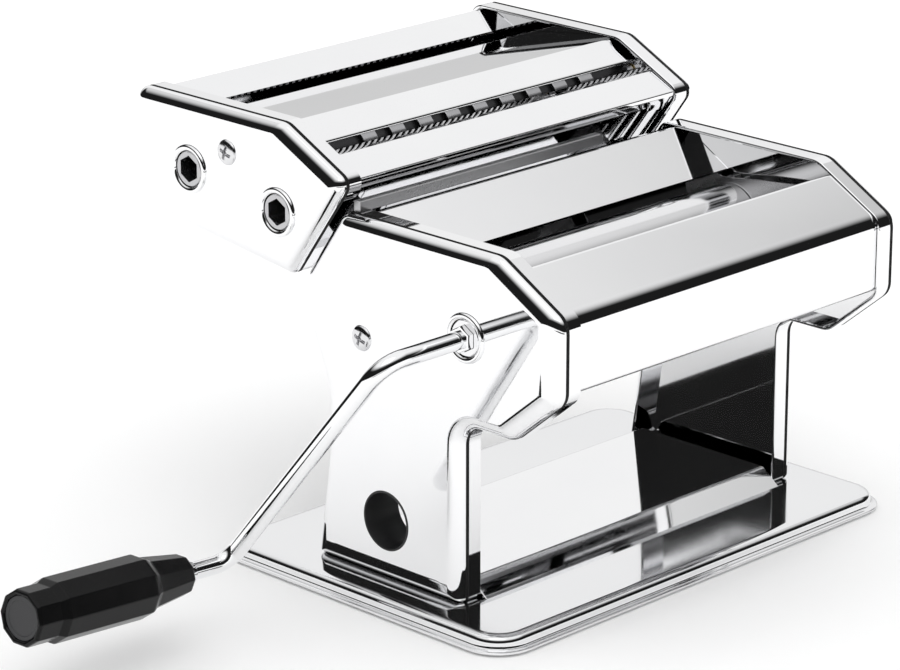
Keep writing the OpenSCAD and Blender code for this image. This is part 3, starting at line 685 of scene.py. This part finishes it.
def shaft_out(x_mouth, x_in, centre):
    """Outside of a shaft from its socket mouth inwards."""
    b = Build()
    rim = b.circle_x(x_mouth, centre, SHAFT_R - 0.3, SHAFT_N)
    start = b.circle_x(x_mouth + 0.3, centre, SHAFT_R, SHAFT_N)
    end = b.circle_x(x_in, centre, SHAFT_R, SHAFT_N)
    b.skin(rim, start)
    b.skin(start, end)
    return b


def stub(x_in, x_end, centre):
    """Plain end of a shaft, from x_in out to x_end, with its edge eased."""
    step = math.copysign(0.3, x_end)
    return lathe_x([(x_in, SHAFT_R), (x_end - step, SHAFT_R), (x_end, SHAFT_R - 0.3), (x_end, 0)],
                   centre, SHAFT_N)


BORE_R = 5.85
smooth_barrel = eased(-ROLLER_HALF, ROLLER_HALF, ROLLER_R)
front = merge(
    lathe_x([(-ROLLER_HALF, SHAFT_R)] + smooth_barrel + [(ROLLER_HALF, SHAFT_R)], FRONT_AXIS, 96),
    stub(ROLLER_HALF, WEB_OUT + STUB_L, FRONT_AXIS),
    shaft_out(-FACE_X - SOCKET_PROUD, -ROLLER_HALF, FRONT_AXIS),
    hex_socket(-FACE_X - SOCKET_PROUD, FRONT_AXIS))
piece("front_smooth_roller", front, GROUND, "front_roller", "front_roller")
rear = lathe_x(
    [(-ROLLER_HALF, BORE_R)] + smooth_barrel + [(ROLLER_HALF, BORE_R), (-ROLLER_HALF, BORE_R)],
    REAR_AXIS, 96)
piece("rear_smooth_roller", rear, GROUND, "rear_roller", "rear_roller")


DISC_R, GROOVE_R, END_R = 8.5, 6.6, 5.9


def disc_profile(pitch, shift):
    """Profile of a cutting roller: discs half a pitch wide, with grooves between them."""
    clear = 0.1
    n = int((2 * CUT_HALF - 2 * pitch) // pitch)
    start = -n * pitch / 2 + shift
    e = min(0.25, pitch * 0.06)
    prof = [(-CUT_HALF, END_R), (-CUT_HALF, GROOVE_R)]
    for k in range(n):
        x0, x1 = start + k * pitch + clear, start + k * pitch + pitch / 2 - clear
        prof += [(x0, GROOVE_R), (x0, DISC_R - e), (x0 + e, DISC_R),
                 (x1 - e, DISC_R), (x1, DISC_R - e), (x1, GROOVE_R)]
    return prof + [(CUT_HALF, GROOVE_R), (CUT_HALF, END_R)]


def cutting_roller(name, axis, pitch, shift, driven, body, node):
    """Discs and shaft ends of one cutting roller; a driven one has the crank's socket at the left."""
    x_face = FACE_X + CUTTER_STEP + SOCKET_PROUD
    x_stub = C_WEB_OUT + STUB_L
    parts = [lathe_x(disc_profile(pitch, shift), axis, SHAFT_N), stub(CUT_HALF, x_stub, axis)]
    if driven:
        parts += [shaft_out(-x_face, -CUT_HALF, axis), hex_socket(-x_face, axis)]
    else:
        parts += [stub(-CUT_HALF, -x_stub, axis)]

    def in_groove(x, y, z, face):
        return abs(x) < CUT_HALF - 0.1 and math.hypot(y - axis[0], z - axis[1]) < DISC_R - 0.3

    # faces in the grooves between the discs take the dark steel, which is painted shade
    piece(name, merge(*parts), CUT_STEEL, body, node, 30.0, False, GROOVE_SHADE_STEEL, in_groove)


WIDE_PITCH, NARROW_PITCH = 13.0, 3.0
for name, axis, pitch, shift, driven in (
        ("wide_drive", WIDE_DRIVE, WIDE_PITCH, 0.0, True),
        ("wide_idle", WIDE_IDLE, WIDE_PITCH, WIDE_PITCH / 2, False),
        ("narrow_drive", NARROW_DRIVE, NARROW_PITCH, 0.0, True),
        ("narrow_idle", NARROW_IDLE, NARROW_PITCH, NARROW_PITCH / 2, False)):
    cutting_roller(name + "_discs", axis, pitch, shift, driven, name, name + "_roller")

# ---- rings, liners and screws --------------------------------------------------------------------


RING_HOLE_R = 6.3
RING_SEAT_R = 7.35
RING_DEPTH = 1.2


def ring_profile(face):
    """Flanged ring round a socket: rounded outer edge, slightly dished towards the hole."""
    dome = [(0, 8.25), (0.35, 8.22), (0.65, 8.05), (0.85, 7.75), (0.9, 7.4),
            (0.85, 7.0), (0.65, 6.6), (0.3, RING_HOLE_R)]
    inner = [(-RING_DEPTH, RING_HOLE_R), (-RING_DEPTH, RING_SEAT_R), (0, RING_SEAT_R), (0, 8.25)]
    return [(-face - out, r) for (out, r) in dome + inner]


def socket_rings(name, face, axes, body, node):
    piece(name, merge(*[lathe_x(ring_profile(face), q) for q in axes]),
          CHROME, body, node, 30.0, False)


C_FACE = FACE_X + CUTTER_STEP
socket_rings("crank_ring", FACE_X, [FRONT_AXIS], "frame", "crank_socket_ring")
socket_rings("cutter_rings", C_FACE, [NARROW_DRIVE, WIDE_DRIVE], "cutter", "cutter_socket_rings")

LINER_X = -FACE_X - 0.2
LINER_END = LINER_X + CLAMP_DEPTH
piece("left_clamp_liner", lathe_x(
    [(LINER_X, CLAMP_R + 0.1), (LINER_X, CLAMP_R + 0.7), (-FACE_X, CLAMP_R + LINER_T),
     (LINER_END, CLAMP_R + LINER_T), (LINER_END, CLAMP_R), (-FACE_X, CLAMP_R),
     (LINER_X, CLAMP_R + 0.1)], CLAMP),
      LINING, "frame", "left_clamp_sleeve", 40.0, False)

HEAD_R, HEAD_H = 4.3, 1.3
CROSS_W, CROSS_L, CROSS_D = 0.52, 2.5, 1.0
CROSS_END = 0.25
SCREW_NECK_R = 2.0
SCREW_L = 3.6


def screw_head(face, p, turn):
    """Domed cross-head screw: the dome is a grid of rings, pushed in along the cross."""
    b = Build()
    n, rings = 96, 16
    prev = None
    for i in range(rings + 1):
        r = HEAD_R * (1 - i / rings)
        dome = HEAD_H * (1 - (r / HEAD_R) ** 2) ** 0.5 if r < HEAD_R else 0.0
        pts = []
        for (y, z) in circle((0, 0), r, n):
            u = abs(y * math.cos(turn) + z * math.sin(turn))
            w = abs(-y * math.sin(turn) + z * math.cos(turn))
            cross = max((across < CROSS_W) * max(0.0, min(1.0, (CROSS_L - away) / CROSS_END))
                        for (across, away) in ((u, w), (w, u)))
            pts.append((-face - dome + CROSS_D * cross, p[0] + y, p[1] + z))
        ring = b.ring(pts)
        if prev:
            b.skin(prev, ring)
        prev = ring
    base = b.circle_x(-face + 0.4, p, HEAD_R, n)
    b.skin(base, list(range(n)))
    neck = b.circle_x(-face + 0.4, p, SCREW_NECK_R, n)
    tip = b.circle_x(-face + SCREW_L, p, SCREW_NECK_R, n)
    b.skin(base, neck)
    b.skin(neck, tip)
    b.cap(tip)
    return b


for name, face, p, body, node in (
        ("side_screws", FACE_X, MAIN_SCREW, "frame", "side_cover_screws"),
        ("cutter_screws", C_FACE, CUTTER_SCREW, "cutter", "cutter_cover_screws")):
    one = screw_head(face, p, math.radians(20))
    piece(name, merge(one, one.mirrored()), SCREW, body, node, 40.0, False)

# ---- crank and grip ------------------------------------------------------------------------------

CRANK_ANGLE = math.radians(37.4)
LEAN = math.radians(7.3)
ROD_R = 3.0
HEX_OUT = 3.0
PEG_L = 15.0
PEG_HALF = 3.85
ARM_START = 119.0
ELBOW_D = 21.0
GRIP_L = 71.0
CAP_R = 7.2
GRIP_SIDES = 10
grip_dir = Vector((math.cos(LEAN), -math.sin(LEAN)))
grip_start = Vector((151.0, 95.7))


def crank_point(p):
    """A point of the crank's own plane, (distance out, distance from the axis), in space."""
    return Vector((-p[0], FRONT_AXIS[0] + p[1] * math.sin(CRANK_ANGLE),
                   FRONT_AXIS[1] - p[1] * math.cos(CRANK_ANGLE)))


route = line_with_bends(
    [(FACE_X + HEX_OUT, 0), (ARM_START, 0), grip_start - ELBOW_D * grip_dir,
     grip_start + (GRIP_L - 6) * grip_dir], [9.0, 7.0], 14)
rod = tube([crank_point(p) for p in route], ROD_R, 32)
hex_peg = Build()
prev = None
for (x, eased_by) in ((-HEX_OUT, 0.3), (-HEX_OUT + 0.4, 0.0), (PEG_L - 0.6, 0.0), (PEG_L, 0.6)):
    corner_r = PEG_HALF / math.cos(math.radians(30)) - eased_by
    angles = [math.pi / 3 * k + math.pi / 6 for k in range(6)]
    ring = hex_peg.ring(
        [(FRONT_AXIS[0] + corner_r * math.cos(a), FRONT_AXIS[1] + corner_r * math.sin(a))
         for a in angles], -FACE_X + x)
    if prev:
        hex_peg.skin(prev, ring)
    else:
        hex_peg.cap(ring)
    prev = ring
hex_peg.cap(prev)
piece("crank_bar", merge(rod, hex_peg), CHROME, "crank", "crank_rod", 30.0, False)


def along_grip(steps, n, phase=0.0, cap=True):
    """Body of revolution, or of n flats, along the grip's axis: (distance, radius) steps."""
    axis = (crank_point(grip_start + grip_dir) - crank_point(grip_start)).normalized()
    points = [crank_point(grip_start + d * grip_dir) for d, _ in steps]
    return tube(points, [r for _, r in steps], n, cap, phase, axis)


collar = along_grip(
    [(-3.0, 3.02), (-3.0, 3.7), (-2.8, 3.95), (-2.6, 4.0), (-0.9, 4.0), (-0.7, 3.95), (-0.5, 3.7),
     (-0.5, 3.02)], 32, cap=False)
piece("crank_ferrule", collar, CHROME, "crank", "crank_collar", 30.0, False)

GRIP_STEPS = [
    (0.0, 3.1), (0.0, 5.0), (0.25, 5.8), (0.7, 6.35), (1.3, 6.75),
    (17.4, 8.8), (18.2, 8.95), (18.8, 9.3), (20.4, 10.15), (21.0, 10.36), (21.8, 10.4),
    (58.4, 10.4), (59.2, 10.3), (61.2, 9.35), (61.8, 9.2), (69.6, 9.2), (70.3, 9.1),
    (70.8, 8.75), (70.98, 8.3), (70.9, 7.75), (70.5, 7.4), (70.0, CAP_R), (68.0, CAP_R)]
grip_mesh = along_grip(GRIP_STEPS, GRIP_SIDES, math.pi / GRIP_SIDES, False)
grip_ob = new_mesh("grip_sleeve", grip_mesh.v, grip_mesh.f, BLACK, "grip", "grip", 25.0)
bevel = grip_ob.modifiers.new("edges", "BEVEL")
bevel.width = 0.6 * MM
bevel.segments = 3
bevel.limit_method = "ANGLE"
bevel.angle_limit = math.radians(20)
weighted(grip_ob)
DISC_GAP = 0.05
cap_disc = along_grip(
    [(68.0, 0.01), (68.0, CAP_R - DISC_GAP), (70.0, CAP_R - DISC_GAP), (70.3, CAP_R - 0.3),
     (70.3, 5.8), (70.1, 5.6), (70.1, 0.01)], 64)
piece("grip_disc", cap_disc, BLACK_MATT, "grip", "grip_cap", 30.0)

# ---- adjuster knob -------------------------------------------------------------------------------

KNOB_X = FACE_X + 0.6
FLUTES, FLUTE_D = 12, 0.9
# distance out, radius, and whether the ring is fluted
KNOB = [(0.0, 12.9, False), (0.0, 14.2, False), (0.3, 14.5, False), (3.6, 14.5, False),
        (4.0, 14.2, False), (4.2, 13.2, True), (12.8, 12.6, True), (13.6, 12.2, True),
        (14.0, 11.4, True), (14.0, 3.0, False)]
knob = Build()
prev = None
for (x, r, fluted) in KNOB:
    pts = []
    for k in range(144):
        a = 2 * math.pi * k / 144
        rr = r - (FLUTE_D * max(0.0, math.cos(FLUTES * a)) ** 1.5 if fluted else 0.0)
        pts.append((ADJUST_AXIS[0] + rr * math.cos(a), ADJUST_AXIS[1] + rr * math.sin(a)))
    ring = knob.ring(pts, KNOB_X + x)
    if prev:
        knob.skin(prev, ring)
    prev = ring
piece("fluted_knob", knob, BLACK, "knob", "adjuster_knob", 35.0, False)
button = [(13.8, 9.0), (14.9, 9.0), (15.15, 8.7), (15.2, 8.2), (15.2, 0)]
piece("knob_button", lathe_x([(KNOB_X + x, r) for (x, r) in button], ADJUST_AXIS),
      CHROME, "knob", "knob_cap", 30.0, False)

# ---- bar behind the hopper -----------------------------------------------------------------------

BAR_END, BAR_HALF_H = 37.0, 1.9
bar_z = HEAD_TOP + 0.05 + BAR_HALF_H
round_x = BAR_END - 2
bar_outline = [(-WEB_IN, bar_z - BAR_HALF_H), (round_x, bar_z - BAR_HALF_H)]
bar_outline += [
    (round_x + BAR_HALF_H * math.sin(a), bar_z - BAR_HALF_H * math.cos(a))
    for a in [math.pi * k / 12 for k in range(1, 12)]]
bar_outline += [(round_x, bar_z + BAR_HALF_H), (-WEB_IN, bar_z + BAR_HALF_H)]


def bar_ring(y, d):
    """The bar's outline at y, drawn in by d except at the end that meets the side."""
    return [(x - (d if x > -WEB_IN + 1 else 0), y, z + (d if z < bar_z else -d if z > bar_z else 0))
            for (x, z) in bar_outline]


bar = Build()
prev = None
for y, d in ((14.7, 0.3), (15.0, 0.0), (17.3, 0.0), (17.6, 0.3)):
    ring = bar.ring(bar_ring(y, d))
    if prev:
        bar.skin(prev, ring)
    else:
        bar.cap(ring)
    prev = ring
bar.cap(prev)
piece("rest_bar", bar, GREY, "frame", "cutter_rest_bar")

# ---- finishes of the nodes that keep their CAD shape ---------------------------------------------

KEEP = {
    STEEL: ["front_roller_gear", "rear_roller_gear", "wide_drive_gear", "wide_idle_gear",
            "narrow_drive_gear", "narrow_idle_gear", "base_screws", "left_hopper_guard",
            "right_hopper_guard", "front_scraper", "rear_scraper", "head_tie_rods", "cutter_rails",
            "detent_pin", "eccentric_shaft", "cutter_tie_rod", "wide_combs", "narrow_combs"],
    BRASS: ["roller_bushes", "roller_sleeves", "cutter_bushes"],
    RUBBER: ["base_pad"],
}
for mat, names in KEEP.items():
    for name in names:
        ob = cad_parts[name]
        if not ob.material_slots:
            ob.data.materials.append(mat)
            continue
        for slot in ob.material_slots:
            slot.link = "OBJECT"
            slot.material = mat

# ---- floor, light and camera ---------------------------------------------------------------------

def stage_card(name, surface, half_w, half_h, grey, shine=0.5):
    """Matt rectangle facing up, part of the stage and not of the object."""
    mesh = bpy.data.meshes.new(name)
    corners = [(-half_w, -half_h, 0), (half_w, -half_h, 0), (half_w, half_h, 0), (-half_w, half_h, 0)]
    mesh.from_pydata(corners, [], [(0, 1, 2, 3)])
    m, _, p = nodes_of(surface)
    p.inputs["Base Color"].default_value = (grey, grey, grey, 1)
    p.inputs["Roughness"].default_value = 0.9
    p.inputs["Specular IOR Level"].default_value = shine
    mesh.materials.append(m)
    ob = bpy.data.objects.new(name, mesh)
    bpy.context.scene.collection.objects.link(ob)
    return ob


stage_card("floor", "studio_floor", 6.0, 6.0, 0.93, shine=0.0)

world = bpy.data.worlds.new("studio")
bpy.context.scene.world = world
world.use_nodes = True
wnt = world.node_tree
bg = wnt.nodes["Background"]
wlink = wnt.links.new


def wmath(op, *values):
    n = wnt.nodes.new("ShaderNodeMath")
    n.operation = op
    for i, v in enumerate(values):
        if isinstance(v, (int, float)):
            n.inputs[i].default_value = v
        else:
            wlink(v, n.inputs[i])
    return n.outputs[0]


def wramp(value, lo, hi, out_lo=0.0, out_hi=1.0):
    n = wnt.nodes.new("ShaderNodeMapRange")
    n.interpolation_type = "SMOOTHSTEP"
    wlink(value, n.inputs["Value"])
    for key, v in (("From Min", lo), ("From Max", hi), ("To Min", out_lo), ("To Max", out_hi)):
        n.inputs[key].default_value = v
    return n.outputs["Result"]


wco = wnt.nodes.new("ShaderNodeTexCoord")
sep = wnt.nodes.new("ShaderNodeSeparateXYZ")
wlink(wco.outputs["Generated"], sep.inputs[0])
dx, dy, dz = sep.outputs
flat_sq = wmath("ADD", wmath("MULTIPLY", dx, dx), wmath("MULTIPLY", dy, dy))
flat_len = wmath("SQRT", wmath("MAXIMUM", flat_sq, 1e-6))
toward_back = wmath("DIVIDE", wmath("MULTIPLY", wmath("ADD", dx, dy), 0.7071), flat_len)
# a large soft panel overhead, a pale sweep behind the object, and a dark room elsewhere
overhead = wramp(dz, 0.46, 0.80, 0.0, 0.98)
sweep = wmath("MULTIPLY", wramp(toward_back, 0.66, 0.84), wramp(dz, 0.0, 0.36, 0.60, 0.95))
ROOM = 0.012
bright = wmath("MAXIMUM", wmath("MAXIMUM", overhead, sweep), ROOM)
# matt surfaces are lit evenly from all round, so that the floor stays white
path = wnt.nodes.new("ShaderNodeLightPath")
EVEN_LIGHT = 1.24
even = wmath("MULTIPLY", path.outputs["Is Diffuse Ray"], EVEN_LIGHT)
mirrored = wmath("MULTIPLY", wmath("SUBTRACT", 1.0, path.outputs["Is Diffuse Ray"]), bright)
wlink(wmath("ADD", even, mirrored), bg.inputs["Color"])
bg.inputs["Strength"].default_value = 1.0


# a soft key light, and a dark card outside the view that the polished metal mirrors
key = bpy.data.lights.new("key", "AREA")
key.shape = "RECTANGLE"
key.size, key.size_y = 1.8, 1.8
key.energy = 3
key_ob = bpy.data.objects.new("key", key)
bpy.context.scene.collection.objects.link(key_ob)
key_ob.location = (-0.9, -0.7, 2.4)
key_ob.rotation_euler = (Vector((0, 0, 0.05)) - key_ob.location).to_track_quat("-Z", "Y").to_euler()

card = stage_card("front_card", "front_card_card", 0.25, 0.45, 0.03)
card.location = (-0.62, -0.62, 0.004)
card.rotation_euler = (0, 0, math.radians(45))
card.visible_camera = False
card.visible_shadow = False
card.visible_diffuse = False

cam = bpy.data.cameras.new("camera")
cam.sensor_width = 36.0
cam.lens = 158.47
cam_ob = bpy.data.objects.new("camera", cam)
bpy.context.scene.collection.objects.link(cam_ob)
cam_ob.location = (-0.9189, -0.8563, 0.4894)
aim = Vector((-0.0108, 0.0408, 0.0626)) - cam_ob.location
cam_ob.rotation_euler = aim.to_track_quat("-Z", "Y").to_euler()
cam.clip_start, cam.clip_end = 0.05, 50
bpy.context.scene.camera = cam_ob
bpy.context.scene.view_settings.view_transform = "Standard"
